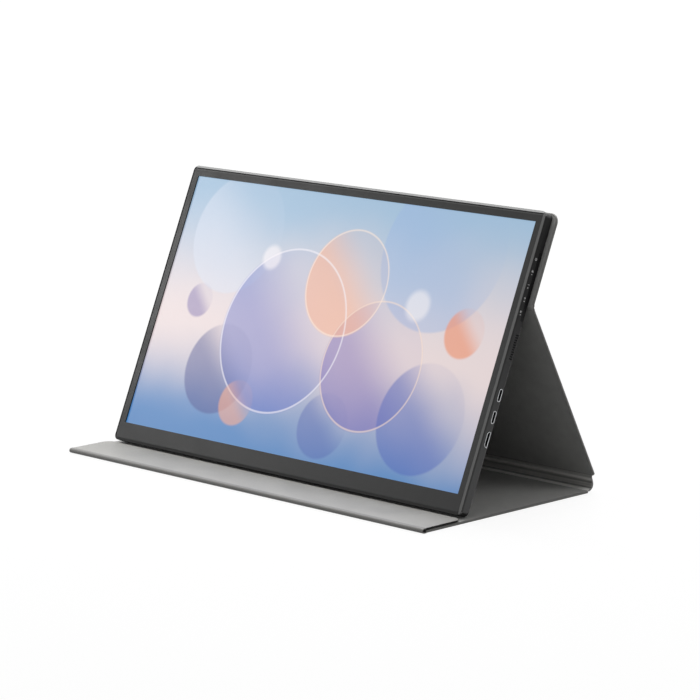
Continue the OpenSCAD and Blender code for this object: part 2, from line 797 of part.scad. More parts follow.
module hdmi_socket() {
  mouth = mon_w / 2 - mouth_set;
  color(steel) in_monitor() {
    difference() {
      along_x(mouth - hdmi_len, mouth, hdmi_h, hdmi_d) hdmi_outline(hdmi_w, hdmi_shell_h);
      along_x(mouth - hdmi_len + 0.7, mouth + cut, hdmi_h, hdmi_d)
        hdmi_outline(hdmi_w - 2 * shell_t, hdmi_shell_h - 2 * shell_t);
    }
    along_x(mouth - hdmi_len + 0.6, mouth - 1.5, hdmi_h, hdmi_d) square([0.6 * hdmi_w, 0.7], center = true);
  }
}

module button_board() {
  color(circuit) in_monitor() {
    translate([key_board_x, board_front, trim_mid - key_board_len / 2])
      cube([key_board_t, floor_d - board_front - 0.3, key_board_len]);
    for (h = key_heights) {
      translate([key_board_x + key_board_t - 0.01, key_d - 1.3, h - 1.75]) cube([switch_t + 0.01, 2.6, 3.5]);
      along_x(key_board_x + key_board_t + switch_t - 0.01, switch_face_x, h, key_d) circle(0.7);
    }
  }
}

module button_cable() {
  top = trim_mid - key_board_len / 2 + cable_overlap;
  low = board_high - cable_overlap;
  color([0.75, 0.5, 0.2]) in_monitor()
    slab(board_front - cable_t - 0.05, board_front - 0.05)
      translate([key_board_x - button_cable_w - 0.1, low]) square([button_cable_w, top - low]);
}

// Cap in the strip, with a flange behind the side wall
module key(i) {
  color(black) in_monitor() {
    along_x(key_back_x + key_flange_t - 0.01, key_face_x, key_heights[i], key_d) stadium(key_len, key_w);
    along_x(key_back_x, key_back_x + key_flange_t, key_heights[i], key_d) stadium(key_len + 1.4, key_w + 1);
  }
}

module power_button() { key(0); }

module menu_button() { key(1); }

module down_button() { key(2); }

module up_button() { key(3); }

module input_button() { key(4); }

module speaker(side) {
  color(black) in_monitor() mirror([side < 0 ? 1 : 0, 0, 0]) difference() {
    translate([wall_x - 0.3 - speaker_w, floor_d - speaker_t, speaker_h - speaker_len / 2])
      cube([speaker_w, speaker_t, speaker_len]);
    // sound outlet towards the slots
    along_x(wall_x - 3, wall_x + cut, speaker_h, key_d) stadium(0.7 * speaker_len, 2.4);
  }
}

module speaker_right() { speaker(1); }

module speaker_left() { speaker(-1); }

module magnet_plate() {
  color(steel) in_monitor() slab(floor_d - plate_t, floor_d)
    translate([0, crease_h + 6]) round_rect(0.62 * mon_w, screw_high_h - pad_d - crease_h - 10, 3);
}

// ---------- build ----------

base_skin();
base_board();
base_lining();
flap_skin();
flap_board();
flap_lining();
flap_magnets();
spine_strip();
lower_back_skin();
lower_back_board();
lower_back_lining();
upper_back_skin();
upper_back_board();
upper_back_lining();
cover_magnets();
front_bezel();
rear_housing();
button_trim();
lcd_panel();
diffuser_films();
light_guide();
reflector_sheet();
led_strip();
backlight_tray();
panel_board();
panel_cable();
main_board();
shield_can();
board_screws();
usb_c_socket_upper();
usb_c_socket_lower();
hdmi_socket();
button_board();
button_cable();
power_button();
menu_button();
down_button();
up_button();
input_button();
speaker_right();
speaker_left();
magnet_plate();
housing_screws();
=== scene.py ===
import json
import logging
import math
from dataclasses import dataclass, replace
from enum import Enum
from typing import Iterable, Sequence

import bpy
from mathutils import Matrix, Vector
from mathutils.geometry import convex_hull_2d

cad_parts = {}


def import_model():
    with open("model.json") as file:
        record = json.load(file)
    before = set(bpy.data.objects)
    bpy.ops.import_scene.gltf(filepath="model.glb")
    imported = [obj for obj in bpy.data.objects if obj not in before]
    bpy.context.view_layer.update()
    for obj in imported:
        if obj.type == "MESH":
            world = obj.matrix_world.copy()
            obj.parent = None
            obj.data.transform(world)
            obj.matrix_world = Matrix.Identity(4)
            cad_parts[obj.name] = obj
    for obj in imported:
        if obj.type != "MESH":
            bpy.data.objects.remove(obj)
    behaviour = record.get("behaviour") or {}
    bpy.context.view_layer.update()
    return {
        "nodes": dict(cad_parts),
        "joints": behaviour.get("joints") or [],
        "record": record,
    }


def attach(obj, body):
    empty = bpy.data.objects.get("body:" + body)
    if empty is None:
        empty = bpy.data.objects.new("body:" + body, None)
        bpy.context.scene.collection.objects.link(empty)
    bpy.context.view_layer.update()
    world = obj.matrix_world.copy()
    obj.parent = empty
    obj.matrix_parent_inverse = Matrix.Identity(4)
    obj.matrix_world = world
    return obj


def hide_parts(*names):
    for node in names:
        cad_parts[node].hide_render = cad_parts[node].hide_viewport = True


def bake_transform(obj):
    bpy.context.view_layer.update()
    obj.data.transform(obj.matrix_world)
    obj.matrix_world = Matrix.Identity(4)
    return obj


LOG = logging.getLogger("portable_monitor")
MM = 0.001
TILT = math.radians(23.5)
UP = (0.0, math.sin(TILT), math.cos(TILT))
RIGHT = (1.0, 0.0, 0.0)
LEFT = (-1.0, 0.0, 0.0)
HIGH = (0.0, 0.0, 1.0)
MONITOR_SIDE = 179.2 * MM
PAST_EDGE = 1.0
NOISE_RANGE = (0.3, 0.7)

Pair = tuple[float, float]
Triple = tuple[float, float, float]
Colour = Triple
Material = bpy.types.Material
Socket = bpy.types.NodeSocket


def srgb(red: int, green: int, blue: int) -> Colour:
    """Turns a display colour into scene-linear values.

    Args:
        red: Red, 0 to 255.
        green: Green, 0 to 255.
        blue: Blue, 0 to 255.

    Returns:
        The three linear values.
    """

    def linear(value: int) -> float:
        """Returns one linear value."""
        share = value / 255
        return share / 12.92 if share <= 0.04045 else ((share + 0.055) / 1.055) ** 2.4

    return linear(red), linear(green), linear(blue)


class Body(str, Enum):
    """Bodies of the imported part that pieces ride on."""

    BASE = "cover_base"
    FLAP = "cover_flap"
    SPINE = "spine"
    LOWER_BACK = "lower_back"
    UPPER_BACK = "upper_back"
    MONITOR = "monitor"


class Slot(str, Enum):
    """Material slots of the record."""

    LEATHER = "cover_leather"
    SPINE = "spine_leather"
    LINING = "cover_lining"
    CARD = "stiff_board"
    MAGNET = "magnet"
    BEZEL = "bezel_plastic"
    HOUSING = "housing_metal"
    BLACK = "black_plastic"
    SCREEN = "screen_glass"
    FILM = "white_film"
    CLEAR = "clear_plastic"
    LED = "led_white"
    SHEET = "sheet_steel"
    CIRCUIT = "circuit_board"
    CABLE = "flat_cable"
    SCREW = "screw_steel"
    SPEAKER = "speaker_plastic"


# ---------- node trees ----------


class Graph:
    """A node tree, with short calls that add and link nodes."""

    def __init__(self, tree: bpy.types.NodeTree) -> None:
        """Takes a tree and empties it."""
        self.nodes, self.links = tree.nodes, tree.links
        self.nodes.clear()

    def wire(self, source: object, target: Socket) -> None:
        """Links a socket to an input, or sets the input to a constant.

        Args:
            source: An output socket, a number, a tuple or a material.
            target: The input.
        """
        if isinstance(source, Socket):
            self.links.new(source, target)
        else:
            target.default_value = source

    def add(self, kind: str, inputs: dict | None = None, **settings: object) -> bpy.types.Node:
        """Adds a node.

        Args:
            kind: The node's type.
            inputs: Sockets or constants for its inputs, by name or number.
            settings: Its properties, set before the inputs.

        Returns:
            The node.
        """
        node = self.nodes.new(kind)
        for name, value in settings.items():
            setattr(node, name, value)
        for key, value in (inputs or {}).items():
            self.wire(value, node.inputs[key])
        return node

    def math(self, operation: str, *values: object) -> Socket:
        """Returns the result of a Math node on sockets or numbers."""
        return self.add("ShaderNodeMath", dict(enumerate(values)), operation=operation).outputs[0]

    def seen(self, rays: object) -> Socket:
        """Returns 1 for the rays of a Light Path that show a thing, direct, mirrored or through glass."""
        direct = self.math("MAXIMUM", rays["Is Camera Ray"], rays["Is Glossy Ray"])
        return self.math("MAXIMUM", direct, rays["Is Transmission Ray"])


class Tree(Graph):
    """A material's node tree, which reads the object's own coordinates."""

    def __init__(self, name: str) -> None:
        """Makes an empty material.

        Args:
            name: Its name.
        """
        self.material = bpy.data.materials.new(name)
        self.material.use_nodes = True
        super().__init__(self.material.node_tree)
        self.point = self.add("ShaderNodeTexCoord").outputs["Object"]

    def scaled(self, scale: Sequence[float]) -> Socket:
        """Returns the object's coordinates, multiplied on each axis."""
        return self.add("ShaderNodeVectorMath", {0: self.point, 1: scale}, operation="MULTIPLY").outputs[0]

    def along(self, direction: Sequence[float]) -> Socket:
        """Returns how far the point lies along a direction."""
        node = self.add("ShaderNodeVectorMath", {0: self.point, 1: direction}, operation="DOT_PRODUCT")
        return node.outputs["Value"]

    def noise(self, where: Socket, detail: float = 3.0, rough: float = 0.55) -> Socket:
        """Returns a noise value at coordinates that are already scaled."""
        inputs = {"Vector": where, "Scale": 1.0, "Detail": detail, "Roughness": rough}
        return self.add("ShaderNodeTexNoise", inputs).outputs["Fac"]

    def cells(self, where: Socket) -> Socket:
        """Returns the distance to the nearest cell's middle."""
        return self.add("ShaderNodeTexVoronoi", {"Vector": where, "Scale": 1.0}).outputs["Distance"]

    def about_zero(self, noise: Socket, amount: float) -> Socket:
        """Returns a noise value moved to lie about zero, times an amount."""
        return self.math("MULTIPLY", self.math("SUBTRACT", noise, 0.5), amount)

    def distance(self, across: Socket, up: Socket) -> Socket:
        """Returns the length of a flat step."""
        squares = [self.math("MULTIPLY", side, side) for side in (across, up)]
        return self.math("SQRT", self.math("ADD", *squares))

    def remap(self, value: object, low: float, high: float, new_low: float, new_high: float) -> Socket:
        """Returns a value moved from one range to another, clamped, with soft ends."""
        inputs = dict(enumerate((value, low, high, new_low, new_high)))
        return self.add("ShaderNodeMapRange", inputs, interpolation_type="SMOOTHSTEP").outputs["Result"]

    def mix(self, share: object, first: object, second: object) -> Socket:
        """Mixes two colours.

        Args:
            share: How much of the second, 0 to 1.
            first: A colour or socket.
            second: A colour or socket.

        Returns:
            The mixed colour.
        """
        node = self.add("ShaderNodeMix", {"Factor": share}, data_type="RGBA")
        for item, name in ((first, "A"), (second, "B")):
            target = [s for s in node.inputs if s.name == name and s.type == "RGBA"][0]
            self.wire((*item, 1.0) if isinstance(item, tuple) else item, target)
        return [s for s in node.outputs if s.type == "RGBA"][0]

    def bump(self, height: Socket, depth: float) -> Socket:
        """Returns a normal bent by a height, whose full range is a depth in metres."""
        inputs = {"Strength": 1.0, "Distance": depth, "Height": height}
        return self.add("ShaderNodeBump", inputs).outputs["Normal"]

    def finish(self, shader: Socket) -> Material:
        """Links the shader to the output and returns the material."""
        self.add("ShaderNodeOutputMaterial", {"Surface": shader})
        return self.material


@dataclass(frozen=True)
class PaintedLightBand:
    """A stretch of a piece in another colour, measured along a direction: painted highlight or painted shade, as on
    the bezel's chamfers, the flap's ends and the spine's inner side.
    """

    along: Triple
    start: float
    end: float
    colour: Colour
    matt: bool = False
    soft: float = 0.00005


@dataclass(frozen=True)
class Surface:
    """A finish with uneven colour, uneven gloss, a fine relief and optional bands of painted highlight and shade."""

    name: str
    light: Colour
    dark: Colour
    patch: Triple = (60.0, 60.0, 60.0)
    gloss: Pair = (0.45, 0.6)
    grain: Triple = (2500.0, 2500.0, 2500.0)
    relief: float = 0.00001
    cellular: bool = False
    metallic: float = 0.0
    sheen: float = 0.0
    specular: float = 0.5
    transmission: float = 0.0
    streaks: float = 0.0
    bands: tuple[PaintedLightBand, ...] = ()
    patch_share: float = 0.7
    grain_share: float = 0.3
    fine_scale: float = 3.1
    fine_share: float = 0.35
    streak_scale: Triple = (14.0, 900.0, 900.0)

    def build(self) -> Material:
        """Builds the material.

        Returns:
            The material.
        """
        tree = Tree(self.name)
        patches = tree.noise(tree.scaled(self.patch), 4.0)
        grain_point = tree.scaled(self.grain)
        grain = tree.cells(grain_point) if self.cellular else tree.noise(grain_point, 2.0)
        fine = tree.noise(tree.scaled(tuple(self.fine_scale * g for g in self.grain)), 1.0)
        shade = tree.math(
            "ADD",
            tree.math("MULTIPLY", patches, self.patch_share),
            tree.math("MULTIPLY", grain, self.grain_share),
        )
        colour = tree.mix(tree.remap(shade, *NOISE_RANGE, 0.0, 1.0), self.dark, self.light)
        rough = tree.remap(patches, *NOISE_RANGE, *self.gloss)
        # Each band paints highlight or shade over the colour; a matt band also roughens its stretch.
        for band in self.bands:
            place = tree.along(band.along)
            share = tree.math(
                "MULTIPLY",
                tree.remap(place, band.start - band.soft, band.start + band.soft, 0.0, 1.0),
                tree.remap(place, band.end - band.soft, band.end + band.soft, 1.0, 0.0),
            )
            colour = tree.mix(share, colour, band.colour)
            if band.matt:
                rough = tree.math("MAXIMUM", rough, share)
        if self.streaks:
            lines = tree.noise(tree.scaled(self.streak_scale), 3.0, 0.6)
            rough = tree.math("ADD", rough, tree.about_zero(lines, self.streaks))
        height = tree.math("ADD", grain, tree.math("MULTIPLY", fine, self.fine_share))
        inputs = {
            "Base Color": colour,
            "Roughness": rough,
            "Normal": tree.bump(height, self.relief),
            "Metallic": self.metallic,
            "Specular IOR Level": self.specular,
            "Sheen Weight": self.sheen,
            "Sheen Roughness": 0.5,
            "Transmission Weight": self.transmission,
        }
        return tree.finish(tree.add("ShaderNodeBsdfPrincipled", inputs).outputs["BSDF"])


@dataclass(frozen=True)
class Disc:
    """A soft disc or ring of the picture, in millimetres from the picture's middle."""

    across: float
    up: float
    radius: float
    colour: Colour
    strength: float
    edge: float = 1.2
    ring: float = 0.0
    fade: float = 0.0


@dataclass(frozen=True)
class LitPicture:
    """A lit picture of translucent discs over a soft sky of three colours."""

    name: str
    chin: float = 14 * MM
    height: float = 193.6 * MM
    foot: Pair = (0.0, 0.0)
    brightness: float = 0.86
    top: Colour = srgb(158, 190, 218)
    middle: Colour = srgb(232, 216, 216)
    bottom: Colour = srgb(66, 128, 190)
    discs: tuple[Disc, ...] = ()
    rise: Pair = (-0.12, 0.95)
    fall: Pair = (-1.0, -0.15)
    faint: float = 0.15
    drift: float = 0.06
    drift_scale: Triple = (9.0, 9.0, 9.0)
    glass: Colour = (0.004, 0.004, 0.005)
    gloss: Pair = (0.3, 0.42)
    grain: Triple = (4000.0, 4000.0, 4000.0)

    def build(self) -> Material:
        """Builds the material.

        Returns:
            The material.
        """
        tree = Tree(self.name)
        half = self.height / 2
        offset = self.foot[0] * UP[1] + self.foot[1] * UP[2] + self.chin + half
        up = tree.math("SUBTRACT", tree.along(UP), offset)
        across = tree.add("ShaderNodeSeparateXYZ", {0: tree.point}).outputs["X"]
        drift = tree.about_zero(tree.noise(tree.scaled(self.drift_scale), 2.0), self.drift)
        level = tree.math("ADD", up, drift)
        rise, fall = ([share * half for share in ends] for ends in (self.rise, self.fall))
        colour = tree.mix(tree.remap(level, *rise, 0.0, 1.0), self.middle, self.top)
        colour = tree.mix(tree.remap(level, *fall, 1.0, 0.0), colour, self.bottom)
        for disc in self.discs:
            dx = tree.math("SUBTRACT", across, disc.across * MM)
            dy = tree.math("SUBTRACT", up, disc.up * MM)
            away = tree.distance(dx, dy)
            reach, edge = disc.radius * MM, disc.edge * MM
            share = tree.remap(away, reach - edge, reach + edge, disc.strength, 0.0)
            if disc.ring:
                hole = tree.remap(away, reach - disc.ring * MM - edge, reach - disc.ring * MM + edge, 0.0, 1.0)
                share = tree.math("MULTIPLY", share, hole)
            if disc.fade:
                turned = tree.math("ADD", dx, dy)
                fade = tree.remap(turned, -reach * disc.fade, reach, 1.0, self.faint)
                share = tree.math("MULTIPLY", share, fade)
            colour = tree.mix(share, colour, disc.colour)
        glow = tree.add("ShaderNodeEmission", {"Color": colour, "Strength": self.brightness})
        rough = tree.remap(tree.noise(tree.scaled(self.grain), 2.0), *NOISE_RANGE, *self.gloss)
        glass = tree.add("ShaderNodeBsdfPrincipled", {"Base Color": (*self.glass, 1.0), "Roughness": rough})
        both = tree.add("ShaderNodeAddShader", {0: glow.outputs[0], 1: glass.outputs[0]})
        return tree.finish(both.outputs[0])


# ---------- frames and meshes ----------


@dataclass(frozen=True)
class Plane:
    """A panel's frame in the side view: x across, along the panel, and outwards."""

    origin: Pair
    along: Pair
    out: Pair

    def at(self, x: float, along: float, out: float) -> Vector:
        """Returns the point at those distances, in the part's frame."""
        return Vector(
            (
                x,
                self.origin[0] + along * self.along[0] + out * self.out[0],
                self.origin[1] + along * self.along[1] + out * self.out[1],
            )
        )


class Layout:
    """Where the panels and folds stand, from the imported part's joints."""

    crease_up = 149.6 * MM
    crease_back = 9.55 * MM
    fold_gap = 1.2 * MM
    half_cover = 0.95 * MM
    fold_radius = 1.75 * MM
    base_start = 3.8 * MM
    flap_start = 3.694 * MM
    flap_middle = 2.95 * MM

    def __init__(self, joints: Iterable[dict]) -> None:
        """Reads the fold axes from the joints.

        Args:
            joints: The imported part's joints.
        """
        place = {j["name"]: Vector(j["pos_m"]) for j in joints if j.get("pos_m")}
        self.crease = place["lay_flat"]
        self.heel_low = place["spine_lower_fold"]
        self.heel_high = place["spine_upper_fold"]
        self.front = place["flap_fold"]
        up = (math.sin(TILT), math.cos(TILT))
        back = (math.cos(TILT), -math.sin(TILT))
        foot = [self.crease[i + 1] - self.crease_up * up[i] - self.crease_back * back[i] for i in (0, 1)]
        self.monitor = Plane((foot[0], foot[1]), up, back)
        start = [foot[i] + (self.crease_up + self.fold_gap) * up[i] + self.crease_back * back[i] for i in (0, 1)]
        self.upper_back = Plane((start[0], start[1]), up, back)
        leg = (self.crease - self.heel_high).normalized()
        self.leg_length = (self.crease - self.heel_high).length
        self.lower_back = Plane((self.heel_high.y, self.heel_high.z), (leg.y, leg.z), (leg.z, -leg.y))
        self.fold_y = self.front.y - self.fold_radius
        self.base = Plane((self.fold_y + self.base_start, self.half_cover), (1.0, 0.0), (0.0, -1.0))
        self.base_length = self.heel_low.y - self.fold_gap - self.fold_y - self.base_start
        self.flap = Plane((self.fold_y + self.flap_start, self.flap_middle), (1.0, 0.0), (0.0, 1.0))


def add_object(name: str, data: bpy.types.ID) -> bpy.types.Object:
    """Makes an object at the origin and links it to the scene.

    Args:
        name: The object's name.
        data: Its mesh, light or camera.

    Returns:
        The object.
    """
    made = bpy.data.objects.new(name, data)
    bpy.context.scene.collection.objects.link(made)
    return made


def make_object(
    name: str, points: Sequence[Vector], faces: Sequence[Sequence[int]], materials: Sequence[Material],
    indices: Sequence[int] | None = None, sharp: float = 40.0,
) -> bpy.types.Object:
    """Makes a mesh object at the origin.

    Args:
        name: The object's name.
        points: Vertices, in the part's frame.
        faces: Vertex numbers of each face.
        materials: The materials.
        indices: The material of each face, if there are several.
        sharp: Angle in degrees above which an edge stays sharp.

    Returns:
        The object, linked to the scene.
    """
    mesh = bpy.data.meshes.new(name)
    mesh.from_pydata([tuple(p) for p in points], [], [tuple(f) for f in faces])
    for material in materials:
        mesh.materials.append(material)
    if indices:
        mesh.polygons.foreach_set("material_index", list(indices))
    mesh.polygons.foreach_set("use_smooth", [True] * len(mesh.polygons))
    mesh.set_sharp_from_angle(angle=math.radians(sharp))
    mesh.validate()
    mesh.update()
    return add_object(name, mesh)


def loft(loops: Sequence[Sequence[Vector]]) -> tuple[list[Vector], list[list[int]]]:
    """Skins closed loops of equal length one after another, and closes both ends.

    Args:
        loops: The loops, each with the same number of points.

    Returns:
        The vertices and the faces.
    """
    count = len(loops[0])
    points = [p for loop in loops for p in loop]
    faces = [
        [i * count + k, i * count + (k + 1) % count, (i + 1) * count + (k + 1) % count, (i + 1) * count + k]
        for i in range(len(loops) - 1)
        for k in range(count)
    ]
    faces.append(list(range(count))[::-1])
    faces.append(list(range((len(loops) - 1) * count, len(loops) * count)))
    return points, faces


@dataclass(frozen=True)
class Outline:
    """A panel's rounded outline, with one radius at its start and one at its end."""

    width: float
    length: float
    start_radius: float
    end_radius: float
    least_radius: float = 0.02 * MM
    steps: int = 8

    def loop(self, plane: Plane, inset: float, out: float) -> list[Vector]:
        """Draws the outline.

        Args:
            plane: The panel's frame.
            inset: How far it is drawn in.
            out: Its distance outwards.

        Returns:
            Its points.
        """
        half, far = self.width / 2 - inset, self.length - inset
        start = max(self.start_radius - inset, self.least_radius)
        end = max(self.end_radius - inset, self.least_radius)
        corners = (
            (half - start, inset + start, start, -90.0),
            (half - end, far - end, end, 0.0),
            (-half + end, far - end, end, 90.0),
            (-half + start, inset + start, start, 180.0),
        )
        points = []
        for x, along, radius, first in corners:
            for k in range(self.steps + 1):
                angle = math.radians(first + 90.0 * k / self.steps)
                points.append(plane.at(x + radius * math.cos(angle), along + radius * math.sin(angle), out))
        return points


@dataclass
class LeatherPanel:
    """The leather of one cover panel: an outer face that turns over the edge onto the inner side."""

    name: str
    plane: Plane
    outline: Outline
    body: Body
    node: str
    thickness: float = 1.9 * MM
    skin: float = 0.5 * MM
    turned: float = 0.8 * MM
    edge: float = 0.9 * MM
    inner_share: float = 0.85
    plain_start: bool = False
    edge_limit: float = 0.48
    outer_turn: tuple[float, ...] = (0.35, 0.75, 1.15, math.pi / 2)
    inner_turn: tuple[float, ...] = (0.5, 1.0, math.pi / 2)
    face_inset: float = 4 * MM
    lining_reach: float = 3 * MM
    lip: float = 0.1 * MM
    lip_rise: float = 0.12 * MM
    lip_margin: float = 0.15 * MM
    start_reach: float = 2 * MM
    start_slack: float = 0.03 * MM

    def rings(self) -> list[Pair]:
        """Lays out the section, from the outer face round the edge to the inner side.

        Returns:
            Inset and distance outwards of each ring.
        """
        half, edge, end = self.thickness / 2, min(self.edge, self.edge_limit * self.thickness), self.turned
        inner = self.inner_share * edge
        return [
            (self.face_inset, half),
            (edge, half),
            *((edge * (1 - math.sin(a)), half - edge * (1 - math.cos(a))) for a in self.outer_turn),
            (0.0, -half + inner),
            *((inner * (1 - math.cos(a)), -half + inner * (1 - math.sin(a))) for a in self.inner_turn),
            (end - self.lip, -half),
            (end, -half + self.lip_rise),
            (end, half - self.skin),
            (end + self.lining_reach, half - self.skin),
        ]

    def build(self, material: Material) -> None:
        """Builds the panel's leather and lets it ride on its body.

        Args:
            material: The leather.
        """
        rings = self.rings()
        loops = [self.outline.loop(self.plane, inset, out) for inset, out in rings]
        if self.plain_start:
            below = self.thickness / 2 - self.lip
            loops = [self.squared(loop, inset, out < below) for loop, (inset, out) in zip(loops, rings)]
        points, faces = loft(loops)
        made = make_object(self.name, points, faces, [material])
        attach(made, self.body.value)
        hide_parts(self.node)
        LOG.info("%s: %d faces", self.name, len(faces))

    def squared(self, loop: list[Vector], inset: float, inner: bool) -> list[Vector]:
        """Moves a loop's first edge out to the panel's start, where the front fold goes on.

        Args:
            loop: The loop.
            inset: How far it is drawn in.
            inner: Whether it lies inside the outer face.

        Returns:
            The loop.
        """
        if inset > self.start_reach or (inner and inset >= self.turned - self.lip_margin):
            return loop
        start = self.plane.at(0, 0, 0).y
        return [Vector((p.x, start, p.z)) if p.y - start < inset + self.start_slack else p for p in loop]


@dataclass
class FoldStrip:
    """Soft leather and lining that bend between two panels."""

    name: str
    path: list[Pair]
    half_width: float
    thickness: list[float]
    bodies: tuple[Body, Body]
    turn: tuple[Pair, Pair]
    nodes: tuple[str, ...] = ()
    slot: Slot = Slot.LEATHER
    columns: int = 61
    wave: float = 0.0
    waves: float = 7.3
    sharp: float = 50.0

    def section(self) -> list[Pair]:
        """Lays out the closed outline of the strip in the side view.

        Returns:
            Its points, the outer side first.
        """
        normals = []
        last = len(self.path) - 1
        for i in range(len(self.path)):
            before, after = self.path[max(i - 1, 0)], self.path[min(i + 1, last)]
            dy, dz = after[0] - before[0], after[1] - before[1]
            size = math.hypot(dy, dz)
            normals.append((dz / size, -dy / size))
        spots = list(zip(self.path, normals, self.thickness))
        outer = [(p[0] + n[0] * t / 2, p[1] + n[1] * t / 2) for p, n, t in spots]
        inner = [(p[0] - n[0] * t / 2, p[1] - n[1] * t / 2) for p, n, t in spots]
        return outer + inner[::-1]

    def build(self, outer: Material, inner: Material) -> None:
        """Builds the strip where it stands in the part's frame.

        Args:
            outer: Material of the outer side and the edges.
            inner: Material of the inner side.
        """
        section = self.section()
        count, half = len(section), len(self.path)
        loops = []
        for column in range(self.columns):
            share = column / (self.columns - 1)
            x = (2 * share - 1) * self.half_width
            ripple = self.wave * math.sin(math.pi * share * self.waves) * math.sin(math.pi * share)
            loop = []
            for i, (y, z) in enumerate(section):
                place = (i if i < half else count - 1 - i) / (half - 1)
                lift = ripple * math.sin(math.pi * place) ** 2
                loop.append(Vector((x, y - abs(lift), z)))
            loops.append(loop)
        points, faces = loft(loops)
        sides = range(count * (self.columns - 1))
        indices = [1 if half <= f % count < count - 1 else 0 for f in sides] + [0, 0]
        made = make_object(self.name, points, faces, [outer, inner], indices, self.sharp)
        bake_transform(made)
        if self.nodes:
            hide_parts(*self.nodes)
        LOG.info("%s: %d faces", self.name, len(faces))


@dataclass
class Cover:
    """The folding cover: leather panels and the soft folds between them."""

    layout: Layout
    width: float = 366 * MM
    hinge_width: float = 361 * MM
    flap_thickness: float = 1.1 * MM
    flap_skin: float = 0.35 * MM
    flap_length: float = 35.306 * MM
    upper_length: float = 65.8 * MM
    corner: float = 7 * MM
    fold_corner: float = 1.2 * MM
    crease_corner: float = 0.4 * MM
    square_corner: float = 0.05 * MM
    leg_edge: float = 0.45 * MM
    leg_inner_share: float = 1.2
    half_gap: float = 0.6 * MM
    strip: float = 1.0 * MM
    pinch: float = 0.5 * MM
    heel_shape: tuple[Triple, ...] = (
        (0.044, 0.98, 0.8), (0.12, 1.98, 1.35), (0.24, 3.08, 1.1), (0.388, 3.6, 1.0), (0.561, 3.196, 1.0),
        (0.704, 1.949, 1.0), (0.816, 0.62, 1.0), (0.9, -0.2, 0.8), (0.97, -0.42, 0.7),
    )
    heel_steps: int = 3
    heel_wave: float = 0.12 * MM
    leg_turn: Pair = (1.15 * MM, -0.3 * MM)
    leg_tuck: float = -0.1 * MM
    roll_steps: int = 12
    roll_skin: float = 0.5 * MM
    roll_sink: float = 0.01 * MM
    crease_strip: float = 1.84 * MM
    crease_tuck: float = 0.95 * MM
    crease_bend: Pair = (0.12 * MM, 0.18 * MM)

    def build(
        self, leather: Material, flap_leather: Material, spine: Material,
        spine_inside: Material, lining: Material,
    ) -> None:
        """Builds the whole cover.

        Args:
            leather: The cover's leather.
            flap_leather: The flap's leather: a lighter copy of the cover leather as painted light on its top, with
                painted shade on its ends.
            spine: The spine's leather.
            spine_inside: The spine's inner side: a lighter copy of the lining with painted highlight and shade in
                bands by height.
            lining: The cover's lining.
        """
        self.build_panels(leather, flap_leather)
        self.build_front_roll(leather, lining)
        self.build_heel(spine, spine_inside)
        self.build_crease(leather, lining)

    def build_panels(self, leather: Material, flap_leather: Material) -> None:
        """Builds the leather of the four panels.

        Args:
            leather: The leather of three panels.
            flap_leather: The flap's leather.
        """
        lay = self.layout
        width, small, crease, square = self.width, self.fold_corner, self.crease_corner, self.square_corner
        leg = Plane(tuple(lay.lower_back.at(0, lay.fold_gap, 0))[1:], lay.lower_back.along, lay.lower_back.out)
        LeatherPanel(
            "base_leather", lay.base, Outline(width, lay.base_length, square, small), Body.BASE, "base_skin",
            plain_start=True,
        ).build(leather)
        LeatherPanel(
            "flap_leather", lay.flap, Outline(width, self.flap_length, square, self.corner), Body.FLAP,
            "flap_skin", self.flap_thickness, self.flap_skin, plain_start=True,
        ).build(flap_leather)
        LeatherPanel(
            "lower_back_leather", leg, Outline(width, lay.leg_length - 2 * lay.fold_gap, small, crease),
            Body.LOWER_BACK, "lower_back_skin", edge=self.leg_edge, inner_share=self.leg_inner_share,
        ).build(leather)
        LeatherPanel(
            "upper_back_leather", lay.upper_back, Outline(width, self.upper_length, crease, self.corner),
            Body.UPPER_BACK, "upper_back_skin",
        ).build(leather)

    def build_front_roll(self, leather: Material, lining: Material) -> None:
        """Builds the leather that rolls round the front from the base to the flap.

        Args:
            leather: The outer side.
            lining: The inner side.
        """
        lay = self.layout
        y, r = lay.fold_y, lay.fold_radius
        mid = r - self.roll_skin / 2 - self.roll_sink
        path = [(y + lay.base_start, self.roll_skin / 2), (y + (lay.base_start + r) / 2, self.roll_skin / 2)]
        for k in range(self.roll_steps + 1):
            angle = math.radians(-90 - 180 * k / self.roll_steps)
            path.append((y + r + mid * math.cos(angle), r + mid * math.sin(angle)))
        path.append((y + (lay.flap_start + r) / 2, 2 * r - self.roll_skin / 2))
        path.append((y + lay.flap_start, 2 * r - self.roll_skin / 2))
        FoldStrip(
            "front_fold_leather", path[::-1], self.width / 2, [self.roll_skin] * len(path), (Body.BASE, Body.FLAP),
            ((y + r, self.half_gap), (y + r, 2 * r - self.half_gap)),
        ).build(leather, lining)

    def heel_path(self) -> list[Vector]:
        """Lays out the spine's middle line, a D with its back to the room.

        Returns:
            Thickness, depth and height of each point.
        """
        low, high = self.layout.heel_low, self.layout.heel_high
        chord = high - low
        side = Vector((0.0, chord.z, -chord.y)).normalized()
        ends = [low + Vector((self.pinch, 0.0, 0.0))]
        for along, out, thickness in self.heel_shape:
            ends.append(low + chord * along + side * out * MM + Vector((thickness * MM, 0.0, 0.0)))
        path = []
        for i in range(len(ends) - 1):
            before, after = ends[max(i - 1, 0)], ends[min(i + 2, len(ends) - 1)]
            for k in range(self.heel_steps):
                t = k / self.heel_steps
                path.append(
                    0.5 * (
                        2 * ends[i]
                        + (ends[i + 1] - before) * t
                        + (2 * before - 5 * ends[i] + 4 * ends[i + 1] - after) * t**2
                        + (3 * ends[i] - before - 3 * ends[i + 1] + after) * t**3
                    )
                )
        path.append(ends[-1])
        return path

